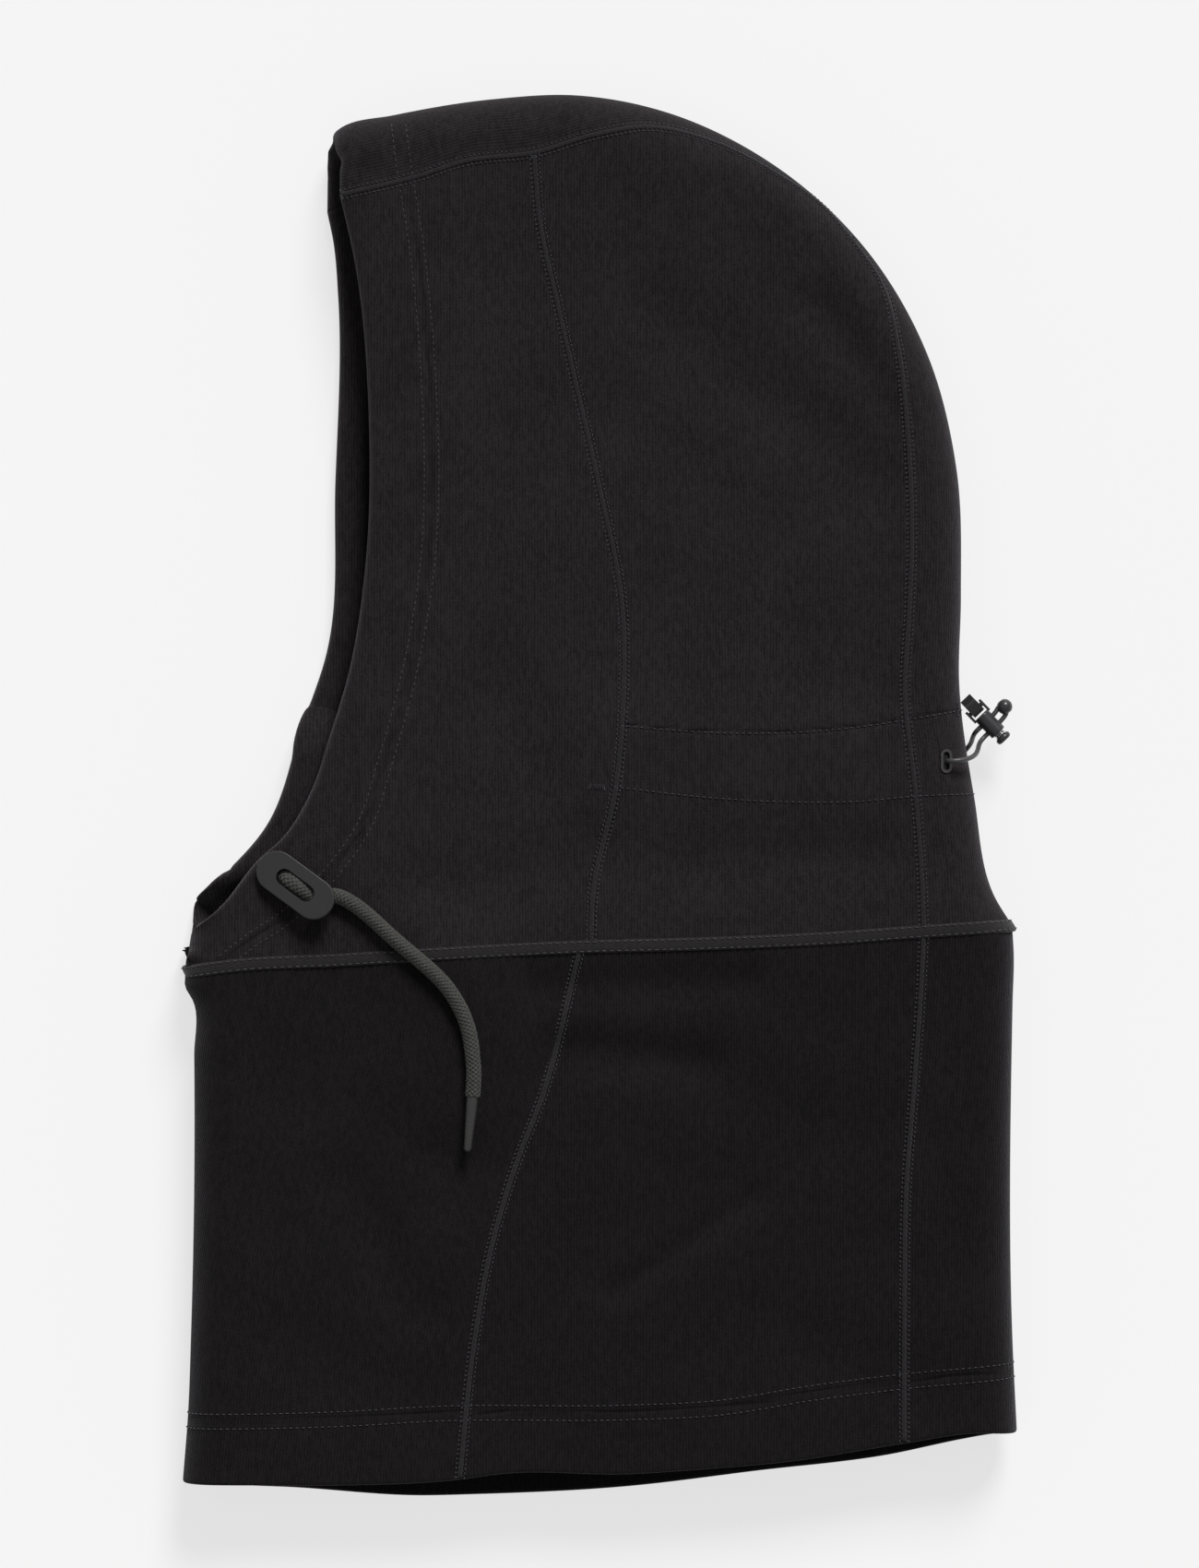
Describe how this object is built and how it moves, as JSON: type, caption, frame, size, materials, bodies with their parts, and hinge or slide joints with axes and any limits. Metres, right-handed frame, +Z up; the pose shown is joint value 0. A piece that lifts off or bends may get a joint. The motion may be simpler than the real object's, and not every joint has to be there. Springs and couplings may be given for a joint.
{
  "type": "hooded ski balaclava",
  "caption": "Hooded ski balaclava in ribbed fleece, laid flat, with a drawcord and stopper plates at the face and an elastic with a cord lock at the back.",
  "frame": {"origin": "under the middle of the laid-flat cloth, on the surface it lies on", "axes": "+X from the face to the back of the head, +Y to the crown, +Z up from the surface; the wearer's left half is uppermost"},
  "size_m": [0.2906, 0.4887, 0.0373],
  "materials": {
    "hood_fleece": "brushed technical fleece with fine ribs",
    "bib_fleece": "brushed technical fleece with fine ribs",
    "lining_tape": "plain woven tape",
    "seam_thread": "twisted sewing thread",
    "braided_cord": "coarse braid",
    "elastic": "smooth covered elastic",
    "grosgrain": "ribbed ribbon",
    "aglet_plastic": "satin moulded tip",
    "plate_plastic": "fine matt moulding with a worn edge",
    "lock_plastic": "semi-gloss moulding",
    "eyelet_metal": "black lacquered metal",
    "spring_steel": "bright wire"
  },
  "bodies": {
    "root": {"hood_front_panel_left": "hood_fleece", "hood_front_panel_right": "hood_fleece", "hood_side_panel_left": "hood_fleece", "hood_side_panel_right": "hood_fleece", "crown_back_strip": "hood_fleece", "bib_front_panel": "bib_fleece", "bib_side_panel_left": "bib_fleece", "bib_side_panel_right": "bib_fleece", "bib_back_panel": "bib_fleece", "rear_channel_tape": "lining_tape", "drawcord": "braided_cord", "front_eyelet_left": "eyelet_metal", "front_eyelet_right": "eyelet_metal", "rear_eyelet_left": "eyelet_metal", "rear_eyelet_right": "eyelet_metal", "elastic_in_channel_left": "elastic", "elastic_in_channel_right": "elastic", "elastic_strand_left": "elastic", "elastic_strand_right": "elastic", "cord_lock_tab": "grosgrain"},
    "left_cord": {"stopper_plate_left": "plate_plastic", "drawcord_tail_left": "braided_cord", "aglet_left": "aglet_plastic"},
    "right_cord": {"stopper_plate_right": "plate_plastic", "drawcord_tail_right": "braided_cord", "aglet_right": "aglet_plastic"},
    "cord_lock": {"cord_lock_body": "lock_plastic", "cord_lock_spring": "spring_steel", "elastic_loop": "elastic", "stop_bead": "lock_plastic"},
    "lock_plunger": {"cord_lock_plunger": "lock_plastic"}
  },
  "joints": [
    {"name": "left_cord_swing", "type": "hinge", "parent": "root", "child": "left_cord", "pos_m": [-0.1091, -0.0275, 0.028], "axis": [0, 0, 1], "range_deg": [-40, 60]},
    {"name": "right_cord_swing", "type": "hinge", "parent": "root", "child": "right_cord", "pos_m": [-0.1155, -0.0255, 0.008], "axis": [0, 0, 1], "range_deg": [-2, 4]},
    {"name": "cord_lock_swing", "type": "hinge", "parent": "root", "child": "cord_lock", "pos_m": [0.1312, 0.0308, 0.013], "axis": [0, 0, 1], "range_deg": [-4, 12], "deforming": ["elastic_strand_left", "elastic_strand_right"]},
    {"name": "plunger_press", "type": "slide", "parent": "cord_lock", "child": "lock_plunger", "axis": [-0.6947, 0.7193, 0], "range_m": [0, 0.0012], "stiffness_N_per_m": 400, "springref_m": -0.001, "deforming": ["cord_lock_spring"]}
  ]
}
